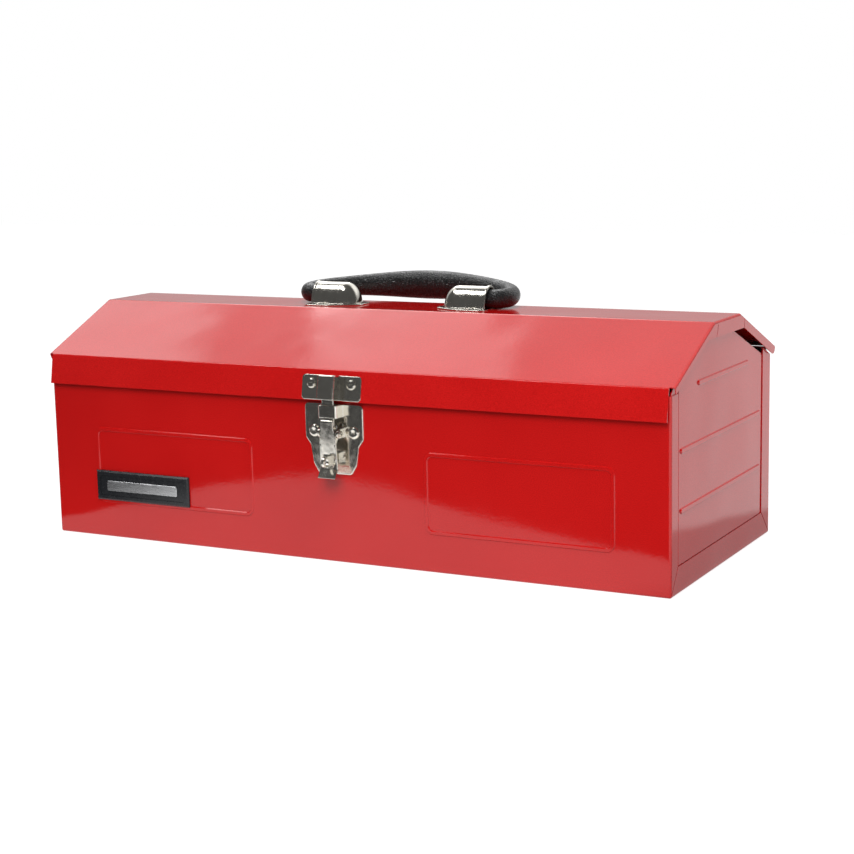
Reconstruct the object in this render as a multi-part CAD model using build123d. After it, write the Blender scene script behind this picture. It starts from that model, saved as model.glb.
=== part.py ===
from build123d import *
import os
from math import atan2, cos, degrees, hypot, radians, sin

# A hip-roof sheet-steel toolbox, 485 mm long. The origin is the centre of the underside.
# +X runs along the length, the front with the latch faces -Y, and +Z is up.

# Driving dimensions, mm
LENGTH = 485.0
DEPTH = 200.0
SHEET = 0.8
HALF_LENGTH = LENGTH / 2
HALF_DEPTH = DEPTH / 2
INNER_END = HALF_LENGTH - SHEET
GAP = 0.6

# Lid outline in the end view, as (y, z)
SKIRT_FOOT = (-104.0, 113.0)
SKIRT_TOP = (-100.5, 134.0)
ROOF_FRONT = (-26.5, 167.0)
ROOF_BACK = (26.5, 167.0)
EAVE_BACK = (103.6, 135.76)
ROOF_Z = ROOF_FRONT[1]
LID_END = HALF_LENGTH + 2.2
SKIRT_HALF = HALF_LENGTH - 1.5
FRONT_LIP, TOP_LIP, REAR_LIP = 5.0, 10.5, 7.0

# Body
FRONT_TOP = 129.0
REAR_TOP = 130.0
HEM = 8.0
BEND = 1.6
FLANGE_FRONT, FLANGE_LOW, FLANGE_REAR = 12.0, 18.0, 18.0

# Embossed frames on the front wall
FRAME_SIZE = (137.0, 56.0)
FRAME_X, FRAME_Z = 136.5, 54.0
BEAD_WIDTH, BEAD_HEIGHT = 3.0, 0.8

# Badge
BADGE_SIZE = (82.0, 22.0)
BADGE_X, BADGE_Z, BADGE_DEPTH = -164.0, 39.0, 2.4

# Continuous hinge under the rear eave
PIN_R = 1.25
KNUCKLE_IN = PIN_R + 0.05
KNUCKLE_OUT = KNUCKLE_IN + SHEET
KNUCKLE_COUNT = 19
HINGE_HALF = 239.0
LEAF_DEPTH = 16.0
EAVE_GAP = 0.4

# Latch
LATCH_PLATE = 1.2
LEVER_SHEET = 1.0
LATCH_PIN_R = 1.2
LATCH_PIVOT = (-106.75, 91.5)
STAPLE_THICK, STAPLE_OUT, STAPLE_EYE_R = 2.0, 17.5, 2.4
STAPLE_Z = 72.7
LATCH_RIVETS = (15.4, 91.7)
STRIKE_WIDTH, STRIKE_HEIGHT = 46.5, 17.2
STRIKE_BOX_HALF, STRIKE_BOX_OUT = 6.6, 9.5
STRIKE_RIVET_X, STRIKE_RIVET_UP = 15.6, 1.0
KEEPER_HALF, KEEPER_TOP = 5.6, 128.0

# Handle, in its own plane: u along X, v away from the pivot, w square to both
HANDLE_Z = ROOF_Z + 7.4
HANDLE_REST = 4.6
ROD_R = 3.0
ELBOW_R = 6.9
ARM_U = 81.6
GRIP_V = 45.5
NECK_R, NECK_START = 6.4, 64.5
GRIP_END, GRIP_MIDDLE = (6.4, 6.9), (9.0, 10.6)
HOOD_MOUTH, HOOD_DOME, HOOD_TIP = 70.2, 46.5, 34.8
FOOT_MOUTH, FOOT_WAIST, FOOT_TIP = 73.0, 51.0, 30.8
HOOD_HALF, HOOD_RISE, HOOD_SHEET = 10.5, 16.0, 1.0
HOOD_RIVETS = (61.0, 15.0)

# Tote tray
TRAY_HALF_X, TRAY_HALF_Y = 238.0, 93.0
TRAY_FLOOR, TRAY_TOP = 89.0, 124.0
LEDGE_Y, LEDGE_OUT = 80.0, 8.0
TRAY_RIVET_X, TRAY_RIVET_Z = 6.0, 106.0
TRAY_HANDLE_WIDTH = 22.0


def unit(a, b):
    """Direction from a to b."""
    dy, dz = b[0] - a[0], b[1] - a[1]
    size = hypot(dy, dz)
    return dy / size, dz / size


def along(a, b, distance):
    """The point at a distance from a, towards b."""
    dy, dz = unit(a, b)
    return a[0] + dy * distance, a[1] + dz * distance


def parallel(points, depths):
    """An open polyline moved to its right, each run by its own depth."""
    lines = []
    for a, b, depth in zip(points, points[1:], depths):
        dy, dz = unit(a, b)
        lines.append(((a[0] + dz * depth, a[1] - dy * depth), (dy, dz)))
    out = [lines[0][0]]
    for (p, d), (q, e) in zip(lines, lines[1:]):
        cross = d[0] * e[1] - d[1] * e[0]
        t = ((q[0] - p[0]) * e[1] - (q[1] - p[1]) * e[0]) / cross
        out.append((p[0] + d[0] * t, p[1] + d[1] * t))
    dy, dz = lines[-1][1]
    end = points[-1]
    out.append((end[0] + dz * depths[-1], end[1] - dy * depths[-1]))
    return out


def slit(a, b, width=0.7):
    """The outline of a thin straight slot from a to b."""
    dy, dz = unit(a, b)
    n = (-dz * width / 2, dy * width / 2)
    return [(a[0] + n[0], a[1] + n[1]), (a[0] - n[0], a[1] - n[1]),
            (b[0] - n[0], b[1] - n[1]), (b[0] + n[0], b[1] + n[1])]


def prism(points, x0, x1):
    """A closed (y, z) outline carried from x0 to x1."""
    face = make_face(Plane.YZ.offset(x0) * Polyline(*points, close=True))
    return extrude(face, amount=x1 - x0, dir=(1, 0, 0))


def block(x0, x1, y0, y1, z0, z1):
    return Pos((x0 + x1) / 2, (y0 + y1) / 2, (z0 + z1) / 2) * Box(x1 - x0, y1 - y0, z1 - z0)


def rod_x(y, z, radius, x0, x1):
    """A round bar along X."""
    return Pos((x0 + x1) / 2, y, z) * Rot(0, 90, 0) * Cylinder(radius, x1 - x0)


def strip(points, radius, width, thickness=SHEET):
    """Bent sheet, centred on x = 0: a (y, z) path with round bends, thickened to its right."""
    radii = []
    for a, b, c in zip(points, points[1:], points[2:]):
        (dy, dz), (ey, ez) = unit(a, b), unit(b, c)
        radii.append(radius - thickness if dy * ez - dz * ey < 0 else radius + thickness)
    inner = parallel(points, [thickness] * (len(points) - 1))
    band = Curve() + [
        FilletPolyline(*points, radius=radius),
        FilletPolyline(*inner, radius=radii),
        Line(points[0], inner[0]),
        Line(points[-1], inner[-1]),
    ]
    return extrude(make_face(Plane.YZ.offset(-width / 2) * band), amount=width, dir=(1, 0, 0))


def both_ends(part):
    return part, part.mirror(Plane.YZ)


def front_plane(depth=0.0):
    """The front wall's outer face: local x is X, local y is Z, and the normal faces out."""
    return Plane(origin=(0, -HALF_DEPTH - depth, 0), x_dir=(1, 0, 0), z_dir=(0, -1, 0))


SKIRT_MID = ((SKIRT_FOOT[0] + SKIRT_TOP[0]) / 2, (SKIRT_FOOT[1] + SKIRT_TOP[1]) / 2)
SKIRT_DIR = unit(SKIRT_FOOT, SKIRT_TOP)
SKIRT_PLANE = Plane(
    origin=(0, SKIRT_MID[0], SKIRT_MID[1]),
    x_dir=(1, 0, 0),
    z_dir=(0, -SKIRT_DIR[1], SKIRT_DIR[0]),
)
ROOF = [along(SKIRT_TOP, ROOF_FRONT, 1.5), ROOF_FRONT, ROOF_BACK, EAVE_BACK]


def hinge_centre():
    """Pin centre: the knuckles touch the rear wall's plane and clear the roof's underside."""
    dy, dz = unit(ROOF_BACK, EAVE_BACK)
    normal = (-dz, dy)
    level = normal[0] * EAVE_BACK[0] + normal[1] * EAVE_BACK[1] - SHEET - EAVE_GAP - KNUCKLE_OUT
    y = HALF_DEPTH + KNUCKLE_OUT
    return y, (level - normal[0] * y) / normal[1]


PIN_Y, PIN_Z = hinge_centre()


def rivet(plane, x, y, grip, head_r, shank_r, rise, tail_r, tail_rise, dimple=0.0):
    """A solid rivet: domed head above the plane, shank through the grip and a flat tail."""
    crown, shoulder, edge = (0, rise - dimple), (head_r * 0.62, rise * 0.93), (head_r, rise * 0.2)
    profile = Curve() + [
        ThreePointArc(crown, (head_r * 0.38, rise - dimple * 0.35), shoulder),
        ThreePointArc(shoulder, (head_r * 0.9, rise * 0.62), edge),
        Polyline(edge, (head_r * 0.97, 0), (shank_r, 0), (shank_r, -grip), (tail_r, -grip),
                 (tail_r, -grip - tail_rise), (0, -grip - tail_rise), crown),
    ]
    solid = revolve(Plane.XZ * make_face(profile), axis=Axis.Z)
    return plane * Pos(x, y, 0) * solid


def bore(plane, x, y, radius, depth):
    """A cutter for a hole, from well above the plane to a depth below it."""
    return plane * Pos(x, y, (3 - depth) / 2) * Cylinder(radius, depth + 3)


# Body shell: front wall, floor and rear wall in one sheet, with flanges over the end panels


def sloped_top(solid_top=145.0):
    """Everything above the body shell's edges, as a cutter in the end view."""
    return [
        (-HALF_DEPTH - 2, FRONT_TOP),
        (-HALF_DEPTH + FLANGE_FRONT + 2, FRONT_TOP),
        (0, FRONT_TOP),
        (0, solid_top),
        (HALF_DEPTH - FLANGE_REAR, 137.0),
        (HALF_DEPTH - 1.2, REAR_TOP),
        (HALF_DEPTH + 2, REAR_TOP),
        (HALF_DEPTH + 2, 160.0),
        (-HALF_DEPTH - 2, 160.0),
    ]


def body_shell():
    outer = block(-HALF_LENGTH, HALF_LENGTH, -HALF_DEPTH, HALF_DEPTH, 0, 150)
    edges = outer.edges().filter_by(Axis.Z) + outer.edges().group_by(Axis.Z)[0]
    outer = fillet(edges, BEND)
    inner = block(-INNER_END, INNER_END, -HALF_DEPTH + SHEET, HALF_DEPTH - SHEET, SHEET, 151)
    edges = inner.edges().filter_by(Axis.Z) + inner.edges().group_by(Axis.Z)[0]
    inner = fillet(edges, BEND - SHEET)
    shell = outer - inner - prism(sloped_top(), -250, 250)
    y0, y1 = -HALF_DEPTH + FLANGE_FRONT, HALF_DEPTH - FLANGE_REAR
    window = prism([(y0, FLANGE_LOW), (y1, FLANGE_LOW), (y1, 160), (y0, 160)], INNER_END - 0.01, 250)
    front_mitre = slit((-HALF_DEPTH + 1.3, 2.0), (y0 + 0.4, FLANGE_LOW + 0.6))
    rear_mitre = slit((HALF_DEPTH - 2.0, 2.0), (y1 - 0.4, FLANGE_LOW + 0.4))
    for cut in (window, prism(front_mitre, INNER_END - 0.01, 250), prism(rear_mitre, INNER_END - 0.01, 250)):
        for piece in both_ends(cut):
            shell -= piece
    hem = block(-HALF_LENGTH + 8, HALF_LENGTH - 8, -HALF_DEPTH + SHEET, -HALF_DEPTH + 2 * SHEET,
                FRONT_TOP - HEM, FRONT_TOP)
    shell += hem
    for side in (-1, 1):
        shell = emboss_frame(shell, side * FRAME_X)
    for x, z in latch_rivet_places():
        shell -= bore(front_plane(), x, z, 2.05, 4)
    for x in badge_stud_places():
        shell -= bore(front_plane(), x, BADGE_Z, 1.55, 4)
    return shell


def emboss_frame(shell, x):
    """A rounded rectangular bead line pressed outwards in the front wall."""
    w, h = FRAME_SIZE
    ring = RectangleRounded(w, h, 6) - RectangleRounded(w - 2 * BEAD_WIDTH, h - 2 * BEAD_WIDTH, 3.5)
    bead = extrude(front_plane() * Pos(x, FRAME_Z) * ring, amount=BEAD_HEIGHT, taper=35)
    inset = 0.8
    w, h = w - 2 * inset, h - 2 * inset
    step = BEAD_WIDTH - 2 * inset
    groove_ring = RectangleRounded(w, h, 5.2) - RectangleRounded(w - 2 * step, h - 2 * step, 4)
    groove = extrude(front_plane(-SHEET) * Pos(x, FRAME_Z) * groove_ring, amount=0.7)
    return shell + bead - groove


# End panels: the middle field is pressed out level with the flanges, with three ribs

FIELD_GAP_REAR = 3.4
PANEL_FRONT_TOP = 130.0
BEND_ROOM = BEND - SHEET + 0.1
PANEL_HALF = HALF_DEPTH - SHEET - BEND_ROOM


def panel_roofline(drop):
    """The gable's top, from front to rear: close under the lid, then a lower rear slope."""
    front = parallel([ROOF[0], ROOF_FRONT, ROOF_BACK], [drop, drop])
    return [
        (-PANEL_HALF, PANEL_FRONT_TOP),
        along(front[0], front[1], 3.0),
        front[1],
        (-1.0, front[1][1]),
        (78.5, 133.5),
        (PANEL_HALF, REAR_TOP - 1.0),
    ]


def end_panel():
    roofline = panel_roofline(3.2)
    low = SHEET + BEND_ROOM
    full = [(-PANEL_HALF, low)] + roofline + [(PANEL_HALF, low)]
    y0 = -HALF_DEPTH + FLANGE_FRONT + GAP
    y1 = HALF_DEPTH - FLANGE_REAR - FIELD_GAP_REAR
    z0 = FLANGE_LOW + GAP
    top = panel_roofline(5.0)[1:4]
    rear_top = 133.5 + (78.5 - y1) * 0.36 - 1.0
    front_z = top[0][1] + (y0 - top[0][0]) * (top[1][1] - top[0][1]) / (top[1][0] - top[0][0])
    field = [(y0, z0), (y0, front_z), top[1], (-2.0, top[1][1]), (y1, rear_top), (y1, z0)]
    x_in, x_out = INNER_END - SHEET, INNER_END
    plate = prism(full, x_in, x_out)
    raised = prism(field, x_in, HALF_LENGTH)
    raised = chamfer(raised.faces().sort_by(Axis.X)[-1].edges(), 0.35)
    ring = make_face(Plane.YZ.offset(x_in - 1) * Polyline(*field, close=True))
    hollow = extrude(offset(ring, -SHEET, kind=Kind.INTERSECTION), amount=1 + SHEET, dir=(1, 0, 0))
    plate = plate + raised - hollow
    for y_from, y_to, z in ((-52.6, 48.7, 130.8), (-84.5, 75.5, 91.8), (-84.5, 75.5, 53.2)):
        plate = press_rib(plate, y_from, y_to, z)
    return plate


def press_rib(plate, y_from, y_to, z, width=4.0, rise=0.9):
    """A straight round-ended bead pressed outwards in the end panel."""
    middle, length = (y_from + y_to) / 2, y_to - y_from
    outer = Plane.YZ.offset(HALF_LENGTH) * Pos(middle, z) * SlotOverall(length, width)
    inner = Plane.YZ.offset(HALF_LENGTH - SHEET) * Pos(middle, z) * SlotOverall(length - 1.8, width - 1.8)
    plate += extrude(outer, amount=rise, taper=42)
    return plate - extrude(inner, amount=0.8)


def ledge():
    """An angle on the inside of the end panel that the tray's end rests on."""
    x_out = INNER_END - SHEET
    points = [(x_out, TRAY_FLOOR), (x_out - LEDGE_OUT, TRAY_FLOOR), (x_out - LEDGE_OUT, TRAY_FLOOR - 1),
              (x_out - 1, TRAY_FLOOR - 1), (x_out - 1, TRAY_FLOOR - 12), (x_out, TRAY_FLOOR - 12)]
    plane = Plane(origin=(0, LEDGE_Y, 0), x_dir=(1, 0, 0), z_dir=(0, -1, 0))
    return extrude(make_face(plane * Polyline(*points, close=True)), amount=2 * LEDGE_Y, dir=(0, -1, 0))


# Lid


def lid_shell():
    hull = ROOF + parallel(ROOF, [FRONT_LIP, TOP_LIP, REAR_LIP])[::-1]
    outer = prism(hull, -LID_END, LID_END)
    along_x = [e for e in outer.edges().filter_by(Axis.X) if e.center().Z > ROOF_Z - 0.01]
    outer = fillet(along_x, 3.0)
    rim = [e for e in outer.edges() if abs(abs(e.center().X) - LID_END) < 0.01 and on_roof(e.center())]
    outer = fillet(rim, 1.6)
    lower_corner = parallel(ROOF, [FRONT_LIP, TOP_LIP, REAR_LIP])[-1]
    corner = [e for e in outer.edges().filter_by(Axis.X)
              if hypot(e.center().Y - lower_corner[0], e.center().Z - lower_corner[1]) < 0.5]
    outer = fillet(corner, 3.5)
    long_roof = [along(ROOF[0], ROOF[1], -8), ROOF[1], ROOF[2], along(ROOF[3], ROOF[2], -8)]
    ceiling = parallel(long_roof, [SHEET, SHEET, SHEET])
    cavity = prism(ceiling + [(ceiling[-1][0], 60), (ceiling[0][0], 60)], -LID_END + SHEET, LID_END - SHEET)
    along_x = [e for e in cavity.edges().filter_by(Axis.X) if e.center().Z > ROOF_Z - 1.5]
    cavity = fillet(along_x, 2.2)
    shell = outer - cavity
    shell += strip([SKIRT_FOOT, SKIRT_TOP, along(SKIRT_TOP, ROOF_FRONT, 7)], BEND, 2 * SKIRT_HALF)
    for a, b in (((-19.0, 164.6), (-23.2, 155.5)), ((34.3, 162.6), (34.3, 155.5))):
        for piece in both_ends(prism(slit(a, b), LID_END - SHEET - 0.01, 250)):
            shell -= piece
    foot_y, foot_z = SKIRT_FOOT
    shell -= block(-KEEPER_HALF, KEEPER_HALF, foot_y - 2, -HALF_DEPTH + 3, foot_z - 1, KEEPER_TOP)
    for side in (-1, 1):
        shell -= bore(SKIRT_PLANE, side * STRIKE_RIVET_X, STRIKE_RIVET_UP, 1.85, 3)
    for x, y in hood_rivet_places():
        shell -= bore(Plane.XY.offset(ROOF_Z), x, y, 2.05, 3)
    return shell


def on_roof(point):
    """True for a point on the roof's outer surface in the end view."""
    if abs(point.Z - ROOF_Z) < 1.2 and abs(point.Y) < 30:
        return True
    for a, b in ((ROOF[0], ROOF[1]), (ROOF[2], ROOF[3])):
        dy, dz = unit(a, b)
        if abs((point.Y - a[0]) * dz - (point.Z - a[1]) * dy) < 0.01:
            return True
    return False


# Continuous hinge


def knuckle_spans():
    """The x range of each knuckle, with a small gap between neighbours."""
    pitch = 2 * HINGE_HALF / KNUCKLE_COUNT
    starts = [-HINGE_HALF + i * pitch for i in range(KNUCKLE_COUNT)]
    return [(x + 0.15, x + pitch - 0.15) for x in starts]


def knuckles(spans):
    rings = [rod_x(PIN_Y, PIN_Z, KNUCKLE_OUT, a, b) for a, b in spans]
    return Part() + rings


def hinge_leaf_body():
    spans = knuckle_spans()
    leaf = block(-HINGE_HALF, HINGE_HALF, HALF_DEPTH, HALF_DEPTH + SHEET, PIN_Z - LEAF_DEPTH, PIN_Z)
    leaf += knuckles(spans[0::2])
    for a, b in spans[1::2]:
        leaf -= block(a - 0.3, b + 0.3, HALF_DEPTH - 1, PIN_Y + 5, PIN_Z - KNUCKLE_OUT - 0.4, PIN_Z + 5)
    return leaf - rod_x(PIN_Y, PIN_Z, KNUCKLE_IN, -HINGE_HALF - 1, HINGE_HALF + 1)


def hinge_leaf_lid():
    spans = knuckle_spans()
    dy, dz = unit(EAVE_BACK, ROOF_BACK)
    normal = (dz, -dy)
    foot = (PIN_Y + normal[0] * (KNUCKLE_OUT + EAVE_GAP), PIN_Z + normal[1] * (KNUCKLE_OUT + EAVE_GAP))
    far = (foot[0] + dy * LEAF_DEPTH, foot[1] + dz * LEAF_DEPTH)
    points = [foot, far, (far[0] - normal[0] * SHEET, far[1] - normal[1] * SHEET),
              (foot[0] - normal[0] * SHEET, foot[1] - normal[1] * SHEET)]
    leaf = prism(points, -HINGE_HALF, HINGE_HALF) + knuckles(spans[1::2])
    for a, b in spans[0::2]:
        leaf -= rod_x(PIN_Y, PIN_Z, KNUCKLE_OUT + 0.35, a - 0.3, b + 0.3)
        leaf -= block(a - 0.3, b + 0.3, PIN_Y - 2.0, PIN_Y + 4, PIN_Z, PIN_Z + 6)
    return leaf - rod_x(PIN_Y, PIN_Z, KNUCKLE_IN, -HINGE_HALF - 1, HINGE_HALF + 1)


# Badge: a blank plate with a plain bar, on two studs


def badge_stud_places():
    return [BADGE_X - 28, BADGE_X + 28]


def badge(shell):
    w, h = BADGE_SIZE
    plate = extrude(front_plane() * Pos(BADGE_X, BADGE_Z) * Rectangle(w, h), amount=BADGE_DEPTH)
    plate = chamfer(plate.faces().sort_by(Axis.Y)[0].edges(), 1.2)
    field = RectangleRounded(w - 7, h - 7, 1.5)
    plate -= extrude(front_plane(BADGE_DEPTH - 0.6) * Pos(BADGE_X, BADGE_Z) * field, amount=2)
    plate -= shell
    for x in badge_stud_places():
        plate += front_plane(-3.4) * Pos(x, BADGE_Z, 1.9) * Cylinder(1.5, 3.8)
    return plate


def badge_bar():
    face = front_plane(BADGE_DEPTH - 0.6) * Pos(BADGE_X, BADGE_Z) * RectangleRounded(62, 7.5, 1.2)
    return chamfer(extrude(face, amount=0.8).faces().sort_by(Axis.Y)[0].edges(), 0.25)


def badge_nuts():
    nuts = []
    for x in badge_stud_places():
        ring = Cylinder(4.0, 0.8) - Cylinder(1.5, 2)
        nuts.append(front_plane(-SHEET - 0.4) * Pos(x, BADGE_Z) * ring)
    return Part() + nuts


# Latch


def latch_rivet_places():
    return [(side * LATCH_RIVETS[0], LATCH_RIVETS[1]) for side in (-1, 1)]


def shield(right):
    """A symmetrical outline in the front plane, from its right half, listed downwards."""
    return right + [(-x, z) for x, z in right[::-1]]


def latch_base_plate():
    outline = shield([(22.8, 110.9), (22.8, 87.0), (19.0, 81.8), (17.0, 69.0), (12.9, 62.2)])
    face = make_face(Polyline(*outline, close=True))
    corners = {110.9: 3.0, 87.0: 3.0, 81.8: 3.0, 69.0: 5.0, 62.2: 3.0}
    for z, radius in corners.items():
        face = fillet([v for v in face.vertices() if abs(v.Y - z) < 0.01], radius)
    plate = extrude(front_plane() * face, amount=LATCH_PLATE, dir=(0, -1, 0))
    plate = fillet(plate.faces().sort_by(Axis.Y)[0].edges(), 0.5)
    front = -HALF_DEPTH - LATCH_PLATE
    bridge = block(-7.3, 7.3, -110.0, front + 0.3, 102.2, 110.9)
    bridge = fillet([e for e in bridge.edges().filter_by(Axis.Z) if e.center().Y < -109], 1.5)
    bridge -= block(-6.3, 6.3, -109.0, front + 1, 100, 112)
    plate += bridge
    y, z = LATCH_PIVOT
    for side in (-1, 1):
        x0, x1 = sorted((side * 6.7, side * 7.9))
        ear = block(x0, x1, y, front + 0.3, z - 3.2, z + 3.2) + rod_x(y, z, 3.2, x0, x1)
        plate += ear
    plate -= rod_x(y, z, LATCH_PIN_R + 0.05, -9, 9)
    for x, z in latch_rivet_places():
        plate -= bore(front_plane(LATCH_PLATE), x, z, 2.05, 2)
    plate -= block(-1.02, 1.02, -101.21, -99.9, STAPLE_Z - 3.72, STAPLE_Z + 3.72)
    return plate


def latch_staple():
    """A flat tab standing out of the base plate, with a padlock eye at its end."""
    tip = -HALF_DEPTH - STAPLE_OUT
    half = 3.7
    side = STAPLE_THICK / 2
    tab = block(-side, side, tip, -HALF_DEPTH - 0.05, STAPLE_Z - half, STAPLE_Z + half)
    tab = fillet([e for e in tab.edges().filter_by(Axis.X) if e.center().Y < tip + 1], 3.0)
    return tab - rod_x(tip + 4.0, STAPLE_Z, STAPLE_EYE_R, -5, 5)


def latch_lever():
    path = [(-113.2, 61.4), (-109.6, 67.0), (-109.4, 72.0), (-111.2, 101.0), (-108.9, 101.0)]
    plate = strip(path, 1.5, 14.4, LEVER_SHEET)
    outline = shield([(4.6, 103.0), (4.6, 97.0), (5.2, 92.5), (6.3, 87.5), (6.7, 70.0), (6.9, 60.0)])
    face = make_face(Polyline(*outline, close=True))
    plate &= extrude(front_plane(2) * face, amount=20, dir=(0, -1, 0))
    plate -= block(-3.8, 3.8, -120, -100, STAPLE_Z - 4.6, STAPLE_Z + 4.6)
    y, z = LATCH_PIVOT
    for side in (-1, 1):
        x0, x1 = sorted((side * 5.2, side * 6.2))
        web = prism([(-110.2, 82.5), (-109.9, 90.5), (y, z + 2.6), (y + 1.5, z - 2.1)], x0, x1)
        plate += web + rod_x(y, z, 2.6, x0, x1)
    return plate - rod_x(y, z, LATCH_PIN_R + 0.05, -9, 9)


def latch_tongue():
    """The hook strip: an eye rolled round the pivot pin, and a short nose at the top."""
    y, z = LATCH_PIVOT
    out = LATCH_PIN_R + 0.05 + SHEET
    face = y - out
    tongue = block(-4.5, 0.6, face, face + SHEET, z, 100.0) + rod_x(y, z, out, -4.5, 0.6)
    tongue += block(-4.5, 4.5, face, face + SHEET, 97.0, 124.0)
    tongue += block(-4.5, 4.5, face - 1.1, face, 122.8, 124.0)
    return tongue - rod_x(y, z, LATCH_PIN_R + 0.05, -9, 9)


def latch_spring():
    """A torsion spring round the pin: one leg on the base plate, one behind the tongue."""
    y, z = LATCH_PIVOT
    wire, turn_r = 0.3, LATCH_PIN_R + 0.05 + 0.35
    turns = [Pos(1.3 + 0.55 * i, y, z) * Rot(0, 90, 0) * Torus(turn_r, wire) for i in range(7)]
    spring = Part() + turns
    foot = Plane(origin=(1.3, y + turn_r, z), z_dir=(0, 0.92, -0.39)) * Pos(0, 0, 1.7)
    spring += foot * Cylinder(wire, 3.4)
    spring += Pos(4.5, y + turn_r, z + 2.6) * Cylinder(wire, 5.2)
    return spring


def latch_pin():
    y, z = LATCH_PIVOT
    pin = rod_x(y, z, LATCH_PIN_R, -8.2, 8.2)
    pin += rod_x(y, z, 2.0, 7.95, 8.9) + rod_x(y, z, 2.0, -8.9, -7.95)
    return pin - rod_x(y, z, 0.7, 6.5, 10) - rod_x(y, z, 0.7, -10, -6.5)


def strike_plate():
    plane = SKIRT_PLANE * Pos(0, -1.6, 0)
    plate = extrude(plane * RectangleRounded(STRIKE_WIDTH, STRIKE_HEIGHT, 2.6), amount=1.0)
    plate = fillet(plate.faces().sort_by(Axis((0, 0, 0), plane_normal(SKIRT_PLANE)))[-1].edges(), 0.4)
    half, out = STRIKE_BOX_HALF, STRIKE_BOX_OUT
    height = STRIKE_HEIGHT - 0.4
    hood = Pos(0, 0, out / 2) * Box(2 * half, height, out)
    hood = fillet(hood.edges().filter_by(Axis.Y).group_by(Axis.Z)[-1], 1.6)
    hood = fillet(hood.faces().sort_by(Axis.Z)[-1].edges().sort_by(Axis.Y)[-1:], 1.0)
    hollow = Pos(0, -1.2, out / 2 - 1.0) * Box(2 * half - 2, height, out)
    hood_top = plane * (hood - hollow)
    plate -= plane * Pos(0, -1.2, 0) * Box(2 * half - 2, height, 6)
    plate += hood_top
    for side in (-1, 1):
        plate -= bore(plane * Pos(0, 1.6, 0), side * STRIKE_RIVET_X, STRIKE_RIVET_UP, 1.85, 3)
    return plate


def plane_normal(plane):
    return plane.z_dir.X, plane.z_dir.Y, plane.z_dir.Z


def latch_rivets():
    plane = front_plane(LATCH_PLATE)
    return Part() + [rivet(plane, x, z, LATCH_PLATE + SHEET, 4.3, 2.0, 1.7, 3.2, 0.8, 0.7)
                     for x, z in latch_rivet_places()]


def strike_rivets():
    plane = SKIRT_PLANE.offset(1.0)
    places = [(side * STRIKE_RIVET_X, STRIKE_RIVET_UP) for side in (-1, 1)]
    return Part() + [rivet(plane, x, up, 1.0 + SHEET, 3.5, 1.8, 1.5, 2.6, 0.5, 0.5) for x, up in places]


# Handle


HANDLE_PLANE = Plane(
    origin=(0, 0, HANDLE_Z),
    x_dir=(1, 0, 0),
    z_dir=(0, -sin(radians(HANDLE_REST)), cos(radians(HANDLE_REST))),
)


def grip_stations():
    """Sections of half the grip, along a quarter of an ellipse: (u, v, heading, half width, half height)."""
    count = 14
    rise = GRIP_V - ELBOW_R
    turns = [radians(90 * i / count) for i in range(count + 1)]
    places = [(ARM_U * cos(t), ELBOW_R + rise * sin(t)) for t in turns]
    run = [0.0]
    for a, b in zip(places, places[1:]):
        run.append(run[-1] + hypot(b[0] - a[0], b[1] - a[1]))
    stations = []
    for t, (u, v), length in zip(turns, places, run):
        heading = degrees(atan2(rise * cos(t), -ARM_U * sin(t)))
        swell = sin(radians(90 * length / run[-1])) ** 3
        sizes = [end + (middle - end) * swell for end, middle in zip(GRIP_END, GRIP_MIDDLE)]
        stations.append((u, v, heading, *sizes))
    return stations


def grip_section(u, v, heading, half_width, half_height):
    h = radians(heading)
    plane = Plane(origin=(u, v, 0), x_dir=(sin(h), -cos(h), 0), z_dir=(cos(h), sin(h), 0))
    return plane * Ellipse(half_width, half_height)


def handle_grip(rod):
    elbow_start = grip_section(ARM_U - ELBOW_R, 0, 0, *GRIP_END)
    turn = Axis((ARM_U - ELBOW_R, ELBOW_R, 0), (0, 0, 1))
    grip = revolve(elbow_start, axis=turn, revolution_arc=90)
    grip += loft([grip_section(*station) for station in grip_stations()])
    grip += grip.mirror(Plane.YZ)
    for side in (-1, 1):
        x0, x1 = sorted((side * NECK_START, side * (ARM_U - ELBOW_R + 0.3)))
        grip += rod_x(0, 0, NECK_R, x0, x1)
    return HANDLE_PLANE.location * grip - rod


def handle_rod():
    """The steel core: one rod through the grip, its ends turned in as the pivots."""
    elbow_u = ARM_U - ELBOW_R
    rod = loft([grip_section(u, v, heading, ROD_R, ROD_R) for u, v, heading, *_ in grip_stations()])
    turn = Axis((elbow_u, ELBOW_R, 0), (0, 0, 1))
    rod += revolve(grip_section(elbow_u, 0, 0, ROD_R, ROD_R), axis=turn, revolution_arc=90)
    rod += rod_x(0, 0, ROD_R, 54.0, elbow_u) + rod_x(0, 0, 4.8, 52.0, 54.0)
    return HANDLE_PLANE.location * (rod + rod.mirror(Plane.YZ))


def hood_rivet_places():
    x, y = HOOD_RIVETS
    return [(sx * x, sy * y) for sx in (-1, 1) for sy in (-1, 1)]


def half_dome(trim):
    """The hood's outline, smaller by trim: an arch along X that closes in a quarter dome."""
    half, rise = HOOD_HALF - trim, HOOD_RISE - trim
    reach = HOOD_DOME - HOOD_TIP - trim
    length = (HOOD_MOUTH - HOOD_DOME + (5 if trim else 0)) / reach
    capsule = Sphere(1.0) + rod_x(0, 0, 1.0, 0, length)
    arch = Pos(HOOD_DOME, 0, ROOF_Z) * scale(capsule, by=(reach, half, rise))
    return arch & block(0, 100, -30, 30, ROOF_Z, ROOF_Z + 40)


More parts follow.
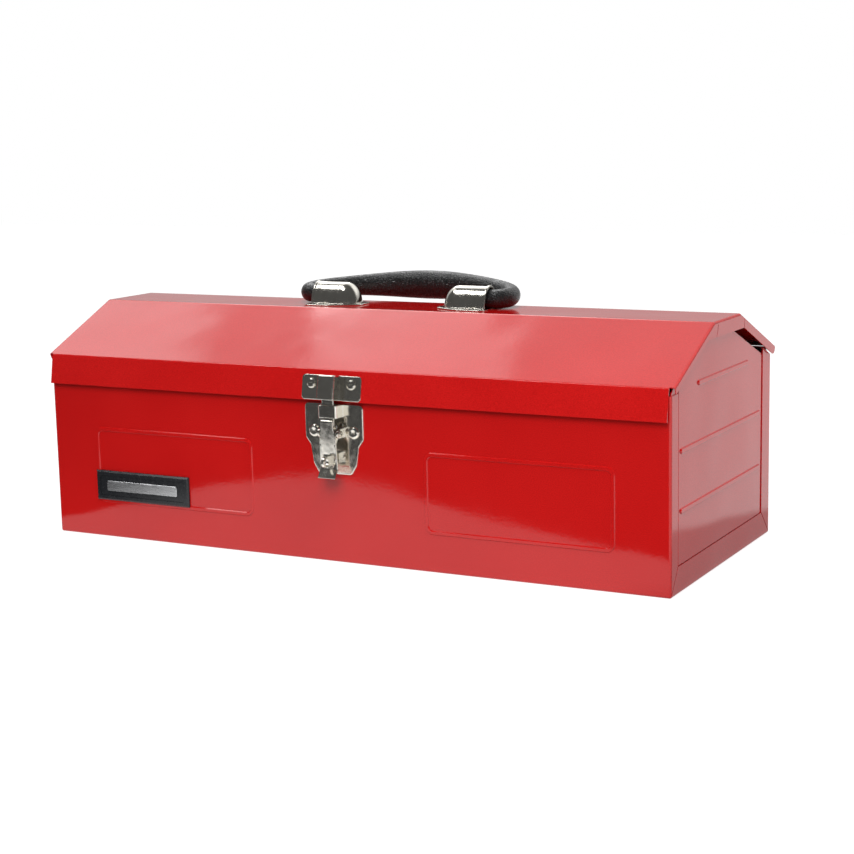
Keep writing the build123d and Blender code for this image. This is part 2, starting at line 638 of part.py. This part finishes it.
def handle_hood():
    half = [(FOOT_MOUTH, 18.6), (FOOT_WAIST, 18.6), (FOOT_TIP, 8.0)]
    outline = half + [(x, -y) for x, y in half[::-1]]
    face = make_face(Polyline(*outline, close=True))
    for x, radius in ((FOOT_MOUTH, 3.5), (FOOT_WAIST, 12.0), (FOOT_TIP, 6.0)):
        face = fillet([v for v in face.vertices() if abs(v.X - x) < 0.01], radius)
    foot = extrude(Plane.XY.offset(ROOF_Z) * face, amount=HOOD_SHEET, dir=(0, 0, 1))
    foot = fillet(foot.faces().sort_by(Axis.Z)[-1].edges(), 0.4)
    lip = Plane.YZ.offset(HOOD_MOUTH - 1.2) * Pos(0, ROOF_Z) * Ellipse(HOOD_HALF + 0.7, HOOD_RISE + 0.7)
    rim = extrude(lip, amount=1.7) & block(0, 100, -30, 30, ROOF_Z, ROOF_Z + 40)
    hood = foot + half_dome(0) + fillet(rim.edges().filter_by(GeomType.ELLIPSE), 0.5)
    hood -= half_dome(HOOD_SHEET)
    for x, y in hood_rivet_places():
        if x > 0:
            hood -= bore(Plane.XY.offset(ROOF_Z + HOOD_SHEET), x, y, 2.05, 2)
    return hood


def hood_rivets():
    plane = Plane.XY.offset(ROOF_Z + HOOD_SHEET)
    return Part() + [rivet(plane, x, y, HOOD_SHEET + SHEET, 3.2, 2.0, 1.3, 3.4, 0.9, 0.5)
                     for x, y in hood_rivet_places()]


def handle_bearing():
    """A folded steel saddle inside the hood that the core rod turns in."""
    saddle = block(56, 63, -5.4, 5.4, ROOF_Z, HANDLE_Z) + rod_x(0, HANDLE_Z, 5.4, 56, 63)
    return saddle - rod_x(0, HANDLE_Z, ROD_R + 0.05, 50, 70)


# Tote tray


def tray_shell():
    outer = block(-TRAY_HALF_X, TRAY_HALF_X, -TRAY_HALF_Y, TRAY_HALF_Y, TRAY_FLOOR, TRAY_TOP)
    outer = fillet(outer.edges().filter_by(Axis.Z) + outer.edges().group_by(Axis.Z)[0], 2.0)
    wall = 0.8
    inner = block(-TRAY_HALF_X + wall, TRAY_HALF_X - wall, -TRAY_HALF_Y + wall, TRAY_HALF_Y - wall,
                  TRAY_FLOOR + wall, TRAY_TOP + 1)
    inner = fillet(inner.edges().filter_by(Axis.Z) + inner.edges().group_by(Axis.Z)[0], 1.2)
    tray = outer - inner
    for side in (-1, 1):
        rim = rod_x(side * (TRAY_HALF_Y + 0.6), TRAY_TOP - 1.4, 1.5, -TRAY_HALF_X + 4, TRAY_HALF_X - 4)
        tray += rim
    for x, side in tray_rivet_places():
        tray -= bore(tray_wall_plane(side), x, TRAY_RIVET_Z, 1.85, 3)
    return tray


def tray_wall_plane(side):
    """The tray's long wall, seen from outside: local x is X, local y is Z."""
    return Plane(origin=(0, side * TRAY_HALF_Y, 0), x_dir=(-side, 0, 0), z_dir=(0, side, 0))


def tray_rivet_places():
    return [(x, side) for side in (-1, 1) for x in (-TRAY_RIVET_X, TRAY_RIVET_X)]


def tray_handle():
    """A flat strip carried over the tray from one long wall to the other."""
    wall = TRAY_HALF_Y - 0.8
    points = [(-wall, 99.0), (-wall, 124.5), (-30, 148.0), (30, 148.0), (wall, 124.5), (wall, 99.0)]
    handle = strip(points, 5.0, TRAY_HANDLE_WIDTH, 1.2)
    for x, side in tray_rivet_places():
        handle -= bore(tray_wall_plane(side), x, TRAY_RIVET_Z, 1.85, 5)
    return handle


def tray_rivets():
    return Part() + [rivet(tray_wall_plane(side), x, TRAY_RIVET_Z, 2.0, 3.2, 1.8, 1.2, 3.0, 0.8)
                     for x, side in tray_rivet_places()]


def build():
    shell = body_shell()
    rod = handle_rod()
    panels = both_ends(end_panel())
    ledges = both_ends(ledge())
    hoods = both_ends(handle_hood())
    bearings = both_ends(handle_bearing())
    return {
        "body_shell": shell,
        "end_panel_right": panels[0],
        "end_panel_left": panels[1],
        "tray_ledge_right": ledges[0],
        "tray_ledge_left": ledges[1],
        "lid_shell": lid_shell(),
        "hinge_leaf_body": hinge_leaf_body(),
        "hinge_leaf_lid": hinge_leaf_lid(),
        "hinge_pin": rod_x(PIN_Y, PIN_Z, PIN_R, -HINGE_HALF, HINGE_HALF),
        "name_badge": badge(shell),
        "badge_bar": badge_bar(),
        "badge_push_nuts": badge_nuts(),
        "latch_base_plate": latch_base_plate(),
        "latch_base_rivets": latch_rivets(),
        "latch_staple": latch_staple(),
        "latch_lever": latch_lever(),
        "latch_tongue": latch_tongue(),
        "latch_spring": latch_spring(),
        "latch_pivot_pin": latch_pin(),
        "strike_plate": strike_plate(),
        "strike_rivets": strike_rivets(),
        "handle_core_rod": rod,
        "handle_grip": handle_grip(rod),
        "handle_hood_right": hoods[0],
        "handle_hood_left": hoods[1],
        "hood_rivets": hood_rivets(),
        "handle_bearing_right": bearings[0],
        "handle_bearing_left": bearings[1],
        "tray_shell": tray_shell(),
        "tray_handle": tray_handle(),
        "tray_handle_rivets": tray_rivets(),
    }


os.makedirs("parts", exist_ok=True)
for node, solid in build().items():
    export_step(solid, f"parts/{node}.step")
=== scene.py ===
import math

import bpy
from mathutils import Matrix, Vector


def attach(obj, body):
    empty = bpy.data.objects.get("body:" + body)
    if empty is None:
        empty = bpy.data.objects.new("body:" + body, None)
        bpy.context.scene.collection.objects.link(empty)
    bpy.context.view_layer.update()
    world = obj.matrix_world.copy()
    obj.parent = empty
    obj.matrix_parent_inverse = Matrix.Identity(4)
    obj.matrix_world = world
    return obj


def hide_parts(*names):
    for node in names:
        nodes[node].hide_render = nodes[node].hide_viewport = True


# A red enamelled steel toolbox in a white studio. Lengths are in metres, except the grip's, which are in mm.

MM = 0.001
WHITE = (1, 1, 1, 1)

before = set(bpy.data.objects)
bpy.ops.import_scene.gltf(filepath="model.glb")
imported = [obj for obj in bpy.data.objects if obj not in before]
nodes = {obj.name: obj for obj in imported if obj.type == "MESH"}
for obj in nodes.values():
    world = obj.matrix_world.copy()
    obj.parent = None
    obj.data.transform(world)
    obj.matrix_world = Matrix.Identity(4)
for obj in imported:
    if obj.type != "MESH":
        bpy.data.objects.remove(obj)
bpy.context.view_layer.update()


# Materials


class Shader:
    """A small wrapper that adds nodes to one material and links them."""

    def __init__(self, name):
        self.material = bpy.data.materials.new(name)
        self.material.use_nodes = True
        self.tree = self.material.node_tree
        self.surface = self.tree.nodes["Principled BSDF"]
        self.position = self.add("ShaderNodeTexCoord").outputs["Object"]

    def add(self, kind, links=(), **values):
        node = self.tree.nodes.new(kind)
        for key, value in values.items():
            setattr(node, key, value)
        for socket, source in dict(links).items():
            self.feed(node.inputs[socket], source)
        return node

    def feed(self, socket, source):
        if isinstance(source, bpy.types.NodeSocket):
            self.tree.links.new(source, socket)
        else:
            socket.default_value = source

    def stretched(self, scale):
        mapping = self.add("ShaderNodeMapping", {"Vector": self.position, "Scale": scale})
        return mapping.outputs["Vector"]

    def noise(self, scale, detail=2.0, roughness=0.5, vector=None):
        node = self.add("ShaderNodeTexNoise", {
            "Vector": vector or self.position, "Scale": scale, "Detail": detail,
            "Roughness": roughness})
        return node.outputs["Fac"]

    def cells(self, scale, feature="DISTANCE_TO_EDGE", vector=None):
        node = self.add("ShaderNodeTexVoronoi", {"Vector": vector or self.position, "Scale": scale},
                        feature=feature)
        return node.outputs["Distance"]

    def span(self, value, low, high, from_low=0.0, from_high=1.0, smooth=False):
        node = self.add("ShaderNodeMapRange", {
            "Value": value, "From Min": from_low, "From Max": from_high, "To Min": low, "To Max": high},
            interpolation_type="SMOOTHSTEP" if smooth else "LINEAR")
        return node.outputs["Result"]

    def math(self, a, b, operation="ADD"):
        return self.add("ShaderNodeMath", {0: a, 1: b}, operation=operation).outputs["Value"]

    def blend(self, factor, first, second, mode="MIX"):
        node = self.add("ShaderNodeMix", data_type="RGBA", blend_type=mode)
        self.feed(node.inputs["Factor"], factor)
        colours = [s for s in node.inputs if s.type == "RGBA"]
        self.feed(colours[0], first)
        self.feed(colours[1], second)
        return [s for s in node.outputs if s.type == "RGBA"][0]

    def bump(self, height, distance, under=None):
        node = self.add("ShaderNodeBump", {"Height": height, "Distance": distance, "Strength": 1.0})
        if under is not None:
            self.feed(node.inputs["Normal"], under)
        return node.outputs["Normal"]

    def set(self, **values):
        for name, value in values.items():
            self.feed(self.surface.inputs[name.replace("_", " ")], value)


def enamel():
    """Glossy red stove enamel on pressed sheet: pigment fleck, orange peel and a slight roll in the sheet."""
    s = Shader("enamel_red")
    tone = s.blend(s.span(s.noise(9.0, 3.0), 0, 1, 0.35, 0.65),
                   (0.60, 0.0060, 0.0058, 1), (0.65, 0.0085, 0.0080, 1))
    fleck = s.blend(s.span(s.noise(1500.0, 1.0), 0, 1, 0.3, 0.7),
                    (0.86, 0.72, 0.72, 1), (1.10, 1.35, 1.35, 1))
    s.set(Base_Color=s.blend(1.0, tone, fleck, "MULTIPLY"))
    s.set(Roughness=s.span(s.noise(60.0, 4.0), 0.06, 0.11, 0.3, 0.7))
    s.set(IOR=1.52)
    roll = s.bump(s.noise(13.0, 1.0), 0.0011)
    s.set(Normal=s.bump(s.noise(380.0, 1.5), 0.000030, roll))
    return s.material


PLATE_EDGE = 0.0010     # radius that the shading gives the sharp edges of the plated parts


def nickel():
    """Bright nickel plate on stamped steel, with polishing marks and faint smears."""
    s = Shader("plate_nickel")
    tint = s.blend(s.span(s.noise(120.0, 3.0), 0, 1, 0.3, 0.7),
                   (0.74, 0.71, 0.64, 1), (0.84, 0.81, 0.74, 1))
    s.set(Base_Color=tint, Metallic=1.0)
    s.set(Roughness=s.span(s.noise(300.0, 4.0, 0.6), 0.09, 0.21, 0.3, 0.7))
    rounded = s.add("ShaderNodeBevel", {"Radius": PLATE_EDGE})
    dents = s.bump(s.noise(150.0, 1.0), 0.00010, rounded.outputs["Normal"])
    s.set(Normal=s.bump(s.noise(900.0, 2.0, vector=s.stretched((1, 1, 0.12))), 0.000006, dents))
    return s.material


def zinc():
    """Duller zinc-plated steel with a fine spangle."""
    s = Shader("plate_zinc")
    spangle = s.cells(420.0, "F1")
    tint = s.blend(s.span(spangle, 0, 1, 0.0, 0.0016),
                   (0.52, 0.53, 0.54, 1), (0.66, 0.66, 0.65, 1))
    s.set(Base_Color=tint, Metallic=1.0)
    s.set(Roughness=s.span(s.noise(220.0, 4.0), 0.24, 0.42, 0.3, 0.7))
    s.set(Normal=s.bump(s.noise(1200.0, 2.0), 0.00001))
    return s.material


def leather_grain():
    """Black moulded grip with a leather grain: pebbles of uneven size and fine creases between them."""
    s = Shader("plastic_grained_black")
    warped = s.add("ShaderNodeVectorMath", {0: s.position}, operation="ADD")
    wobble = s.add("ShaderNodeTexNoise", {"Vector": s.position, "Scale": 260.0, "Detail": 2.0})
    shrink = s.add("ShaderNodeVectorMath", {0: wobble.outputs["Color"]}, operation="SCALE")
    shrink.inputs["Scale"].default_value = 0.0012
    s.feed(warped.inputs[1], shrink.outputs["Vector"])
    pebble = s.span(s.cells(640.0, vector=warped.outputs["Vector"]), 0.0, 1.0, 0.0, 0.42, smooth=True)
    fine = s.noise(1500.0, 3.0, 0.6)
    s.set(Base_Color=s.blend(pebble, (0.004, 0.004, 0.0045, 1), (0.010, 0.010, 0.0105, 1)))
    s.set(Roughness=s.span(fine, 0.24, 0.36, 0.3, 0.7))
    s.set(IOR=1.7)
    s.set(Normal=s.bump(fine, 0.00003, s.bump(pebble, 0.0003)))
    return s.material


def badge_black():
    """Black moulded plastic with a faint texture."""
    s = Shader("plastic_badge_black")
    s.set(Base_Color=s.blend(s.noise(800.0), (0.010, 0.011, 0.013, 1), (0.018, 0.019, 0.022, 1)))
    s.set(Roughness=s.span(s.noise(350.0, 3.0), 0.16, 0.3, 0.3, 0.7))
    s.set(Normal=s.bump(s.noise(700.0, 2.0), 0.00001))
    return s.material


def brushed_silver():
    """Silvered plastic with fine strokes along its length."""
    s = Shader("plastic_silvered")
    strokes = s.noise(2600.0, 2.0, vector=s.stretched((0.03, 1, 1)))
    s.set(Base_Color=s.blend(strokes, (0.60, 0.61, 0.63, 1), (0.80, 0.80, 0.81, 1)), Metallic=1.0)
    s.set(Roughness=s.span(strokes, 0.2, 0.34))
    s.set(Normal=s.bump(strokes, 0.000015))
    return s.material


LOOKS = {
    "red_enamel": enamel(), "nickel_plate": nickel(), "zinc_steel": zinc(),
    "grip_plastic": leather_grain(), "badge_plastic": badge_black(), "badge_silver": brushed_silver(),
}


def dress_cad_nodes():
    """Each CAD node's slots get the look of the record's slot that they carry."""
    for node in nodes.values():
        for slot in node.material_slots:
            slot.material = LOOKS[slot.material.name.split(".")[0]]


def mesh_object(name, points, faces, body, slot, replaces):
    """A smooth mesh from points in mm, with its slot's look, that rides on a body and replaces CAD nodes."""
    mesh = bpy.data.meshes.new(name)
    mesh.from_pydata([Vector(p) * MM for p in points], [], faces)
    mesh.validate()
    mesh.shade_smooth()
    mesh.materials.append(LOOKS[slot])
    piece = bpy.data.objects.new(name, mesh)
    bpy.context.scene.collection.objects.link(piece)
    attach(piece, body)
    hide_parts(*replaces)


# Handle grip, in mm in its own plane: u along X, v away from the pivot, w square to both

PIVOT_Z_MM = 174.4
REST_TILT = math.radians(4.6)
ARM_U, ELBOW_R, GRIP_V = 81.6, 6.9, 45.5
NECK_START, NECK_R = 64.6, 6.35
END_WIDTH, END_HEIGHT = 6.35, 6.85
MIDDLE_WIDTH, MIDDLE_HEIGHT = 8.95, 10.55
RING, ELBOW_STEPS, BOW_STEPS = 64, 12, 56
# How far along the neck each of its first sections lies, and how much smaller its radius is there
NECK_SECTIONS = ((0, 0.6), (0.25, 0.2), (0.7, 0), (3, 0), (6, 0), (8.5, 0))


def from_handle_plane(u, v, w):
    """A point of the handle's plane, tilted back about the pivot as the handle rests."""
    return (u, v * math.cos(REST_TILT) - w * math.sin(REST_TILT),
            PIVOT_Z_MM + v * math.sin(REST_TILT) + w * math.cos(REST_TILT))


def grip_half():
    """Sections from the neck to the middle: (u, v, heading in radians, in-plane half width, half height)."""
    elbow_u, rise = ARM_U - ELBOW_R, GRIP_V - ELBOW_R
    out = [(NECK_START + along, 0, 0, NECK_R - drop, NECK_R - drop)
           for along, drop in NECK_SECTIONS]
    for i in range(ELBOW_STEPS + 1):
        a = math.radians(90 * i / ELBOW_STEPS)
        grow = min(1, i / 4)
        out.append((elbow_u + ELBOW_R * math.sin(a), ELBOW_R * (1 - math.cos(a)), a,
                    END_WIDTH, NECK_R + (END_HEIGHT - NECK_R) * grow))
    bow = [(ARM_U * math.cos(t), ELBOW_R + rise * math.sin(t), t)
           for t in (math.radians(90 * i / BOW_STEPS) for i in range(BOW_STEPS + 1))]
    run = [0.0]
    for p, q in zip(bow, bow[1:]):
        run.append(run[-1] + math.dist(p[:2], q[:2]))
    for (u, v, t), length in list(zip(bow, run))[1:]:
        heading = math.atan2(rise * math.cos(t), -ARM_U * math.sin(t))
        swell = math.sin(math.pi / 2 * length / run[-1]) ** 3
        out.append((u, v, heading, END_WIDTH + (MIDDLE_WIDTH - END_WIDTH) * swell,
                    END_HEIGHT + (MIDDLE_HEIGHT - END_HEIGHT) * swell))
    return out


def grip_mesh():
    """Rings of points along the whole grip, joined up and capped at both necks."""
    half = grip_half()
    other = [(-u, v, math.pi - h, -a, b) for u, v, h, a, b in reversed(half[:-1])]
    rings = half + other
    points, faces = [], []
    for u, v, h, a, b in rings:
        for k in range(RING):
            t = 2 * math.pi * k / RING
            side, up = a * math.cos(t), b * math.sin(t)
            points.append(from_handle_plane(u + side * math.sin(h), v - side * math.cos(h), up))
    for r in range(len(rings) - 1):
        for k in range(RING):
            n = (k + 1) % RING
            faces.append((r * RING + k, r * RING + n, (r + 1) * RING + n, (r + 1) * RING + k))
    faces.append(tuple(range(RING - 1, -1, -1)))
    last = (len(rings) - 1) * RING
    faces.append(tuple(range(last, last + RING)))
    return points, faces


dress_cad_nodes()
points, faces = grip_mesh()
mesh_object("grip_moulding", points, faces, "handle", "grip_plastic", ["handle_grip"])


# Studio


def aim(obj, place, target):
    """Put an object somewhere, looking at a target."""
    obj.location = place
    obj.rotation_euler = (Vector(target) - Vector(place)).to_track_quat("-Z", "Y").to_euler()


def softbox(name, place, target, size, power, mirrored=True, lighting=True):
    """A soft rectangular light. Surfaces mirror it only if mirrored, and are lit by it only if lighting."""
    data = bpy.data.lights.new(name, "AREA")
    data.shape = "RECTANGLE"
    data.size, data.size_y = size
    data.energy = power
    light = bpy.data.objects.new(name, data)
    bpy.context.scene.collection.objects.link(light)
    aim(light, place, target)
    light.visible_glossy = mirrored
    light.visible_diffuse = lighting


# The white sheet that the box stands on, as the box's own reflections see it: its front corner lies between
# two edges. Past the right end a painted shadow of the box glows dimmer, and a third line bounds it, beyond
# which the sheet is bright again. Each line is a point and a direction.
SHEET_LEFT = ((-0.262, -0.171), (0.067, -0.159))
SHEET_FRONT = ((-0.071, -0.315), (0.262, 0.119))
SHADOW_FAR_EDGE = ((0.300, 0.090), (-0.030, 0.075))
# Outside the last two lines the floor is only seen in the rolled edges of the fittings.
RIGHT_OF_FRONT = ((0.270, -0.100), (-0.390, -1.050))
LEFT_OF_FRONT = ((-0.310, -0.100), (-0.876, -1.050))
# The third glow level is painted shadow: the dimmer floor past the right end, where the box would shade it.
SHEET_GLOW, ROOM_GLOW, BOX_SHADOW_GLOW, BACK_GLOW = 1.15, 0.06, 0.58, 1.14
LEFT_SHARE = 0.55
BOUNCE_LOSS = 0.45      # share of the floor's glow that mirrors see but matt surfaces do not
SHADOW_FROM_Y, SHADOW_FROM_X = (-0.14, -0.09), (0.20, 0.25)     # soft steps around the painted shadow of the box on the floor past the right end
EDGE_SOFT, SIDE_SOFT, BACK_SOFT = 0.010, 0.03, 0.02
SEEN_GREY, SEEN_GLOW = 0.5, 0.78        # the floor as the camera sees it
FLOOR_HALF, FLOOR_DROP = 3.0, 0.0002


def floor():
    """A wide floor: plain white to the camera. To reflections and bounce light it glows as a lit sheet in a
    darker room, with a painted shadow of the box past the right end.
    """
    s = Shader("studio_floor")
    axes = s.add("ShaderNodeSeparateXYZ", {"Vector": s.position})

    def side_of(line, width):
        """0 on the right of the line's direction, 1 on its left, with a soft step of that width."""
        (x, y), (dx, dy) = line
        length = math.hypot(dx, dy)
        across = s.math(s.math(axes.outputs["X"], -dy / length, "MULTIPLY"),
                        s.math(axes.outputs["Y"], dx / length, "MULTIPLY"))
        start = (-dy * x + dx * y) / length
        return s.span(across, 0, 1, start - width / 2, start + width / 2, smooth=True)

    on_sheet = s.math(side_of(SHEET_LEFT, EDGE_SOFT), side_of(SHEET_FRONT, EDGE_SOFT), "MULTIPLY")
    on_sheet = s.math(on_sheet, side_of(RIGHT_OF_FRONT, SIDE_SOFT), "MAXIMUM")
    leftward = s.math(1.0, side_of(LEFT_OF_FRONT, SIDE_SOFT), "SUBTRACT")
    on_sheet = s.math(on_sheet, s.math(leftward, LEFT_SHARE, "MULTIPLY"), "MAXIMUM")
    # Painted shadow: past the box's right end the floor glows dimmer, as if the box shaded it, except beyond
    # the third line.
    box_shadow_zone = s.math(s.span(axes.outputs["Y"], 0, 1, *SHADOW_FROM_Y),
                      s.span(axes.outputs["X"], 0, 1, *SHADOW_FROM_X), "MULTIPLY")
    bright = s.math(box_shadow_zone, s.math(1.0, side_of(SHADOW_FAR_EDGE, BACK_SOFT), "SUBTRACT"), "MULTIPLY")
    glow = s.math(s.math(on_sheet, SHEET_GLOW - ROOM_GLOW, "MULTIPLY"), ROOM_GLOW)
    glow = s.math(glow, s.math(box_shadow_zone, BOX_SHADOW_GLOW - SHEET_GLOW, "MULTIPLY"))
    glow = s.math(glow, s.math(bright, BACK_GLOW - BOX_SHADOW_GLOW, "MULTIPLY"))
    path = s.add("ShaderNodeLightPath")
    spared = s.math(1.0, s.math(path.outputs["Is Diffuse Ray"], BOUNCE_LOSS, "MULTIPLY"), "SUBTRACT")
    around = s.add("ShaderNodeEmission", {"Color": WHITE, "Strength": s.math(glow, spared, "MULTIPLY")})
    matt = s.add("ShaderNodeBsdfDiffuse", {"Color": (SEEN_GREY, SEEN_GREY, SEEN_GREY, 1)})
    lift = s.add("ShaderNodeEmission", {"Color": WHITE, "Strength": SEEN_GLOW})
    seen = s.add("ShaderNodeAddShader", {0: matt.outputs[0], 1: lift.outputs[0]})
    pick = s.add("ShaderNodeMixShader", {0: path.outputs["Is Camera Ray"], 1: around.outputs[0],
                                         2: seen.outputs[0]})
    s.feed(s.tree.nodes["Material Output"].inputs["Surface"], pick.outputs[0])
    s.tree.nodes.remove(s.surface)
    mesh = bpy.data.meshes.new("studio_floor")
    h = FLOOR_HALF
    mesh.from_pydata([(-h, -h, 0), (h, -h, 0), (h, h, 0), (-h, h, 0)], [], [(0, 1, 2, 3)])
    mesh.materials.append(s.material)
    obj = bpy.data.objects.new("studio_floor", mesh)
    bpy.context.scene.collection.objects.link(obj)
    obj.location.z = -FLOOR_DROP


ROOM_LIGHT, BACKDROP_LIGHT = 0.08, 0.98
# Each ramp: where it starts and ends along its axis, and its values there
BEHIND = (0.05, 0.40, 0.0, 1.0)
RISING = (0.25, 0.60, 0.44, 1.15)
CEILING = (0.85, 0.97, 1.0, 0.4)


def room():
    """Plain white to the camera. Otherwise a backdrop behind, brighter higher up, in a dim room."""
    world = bpy.data.worlds.new("studio_room")
    bpy.context.scene.world = world
    world.use_nodes = True
    tree = world.node_tree
    background = tree.nodes["Background"]
    background.inputs["Color"].default_value = WHITE
    coordinates = tree.nodes.new("ShaderNodeTexCoord")
    split = tree.nodes.new("ShaderNodeSeparateXYZ")
    tree.links.new(coordinates.outputs["Generated"], split.inputs[0])

    def ramp(source, limits):
        node = tree.nodes.new("ShaderNodeMapRange")
        node.interpolation_type = "SMOOTHSTEP"
        for socket, value in zip(("From Min", "From Max", "To Min", "To Max"), limits):
            node.inputs[socket].default_value = value
        tree.links.new(source, node.inputs["Value"])
        return node.outputs["Result"]

    def combine(a, b, operation="MULTIPLY"):
        node = tree.nodes.new("ShaderNodeMath")
        node.operation = operation
        for socket, value in zip(node.inputs, (a, b)):
            if isinstance(value, bpy.types.NodeSocket):
                tree.links.new(value, socket)
            else:
                socket.default_value = value
        return node.outputs[0]

    height = combine(ramp(split.outputs["Z"], RISING), ramp(split.outputs["Z"], CEILING))
    backdrop = combine(combine(ramp(split.outputs["Y"], BEHIND), height), BACKDROP_LIGHT)
    path = tree.nodes.new("ShaderNodeLightPath")
    total = combine(combine(backdrop, ROOM_LIGHT, "ADD"), path.outputs["Is Camera Ray"], "MAXIMUM")
    tree.links.new(total, background.inputs["Strength"])


softbox("key_softbox", (0.32, -1.2, 1.05), (0, 0, 0.08), (0.9, 0.9), 17.2, mirrored=False)
softbox("slope_fill", (0.7, -0.6, 1.9), (0, 0, 0.1), (0.8, 0.8), 9.5, mirrored=False)
softbox("grip_sheen", (-0.93, 1.38, 1.32), (0, 0, 0.18), (0.8, 0.8), 5, lighting=False)
softbox("rim_panel", (-1.2, -0.83, 2.34), (0, 0, 0.1), (1.6, 0.55), 16, lighting=False)
softbox("overhead_middle", (-1.36, 1.38, 2.3), (-1.36, 1.38, 0), (0.46, 1.3), 1.7)
softbox("overhead_left", (-2.25, 1.38, 2.3), (-2.25, 1.38, 0), (0.66, 1.3), 2.5)
floor()
room()


# Camera

YAW, PITCH, ROLL = math.radians(28.181), math.radians(9.938), math.radians(-1.226)
DISTANCE, TARGET = 1.32497, Vector((0.01723, 0.00069, 0.07914))
FOCAL_LENGTH, SENSOR = 76.92, 36.0


def camera():
    """The camera looks at the target from a distance, turned by yaw and pitch and rolled a little."""
    back = Vector((math.sin(YAW) * math.cos(PITCH), -math.cos(YAW) * math.cos(PITCH), math.sin(PITCH)))
    right = Vector((math.cos(YAW), math.sin(YAW), 0))
    up = back.cross(right)
    level = math.cos(ROLL) * right + math.sin(ROLL) * up
    upright = -math.sin(ROLL) * right + math.cos(ROLL) * up
    data = bpy.data.cameras.new("studio_camera")
    data.lens, data.sensor_width = FOCAL_LENGTH, SENSOR
    obj = bpy.data.objects.new("studio_camera", data)
    bpy.context.scene.collection.objects.link(obj)
    turn = Matrix((level, upright, back)).transposed()
    obj.matrix_world = Matrix.Translation(TARGET + back * DISTANCE) @ turn.to_4x4()
    bpy.context.scene.camera = obj


camera()
bpy.context.scene.view_settings.view_transform = "Standard"
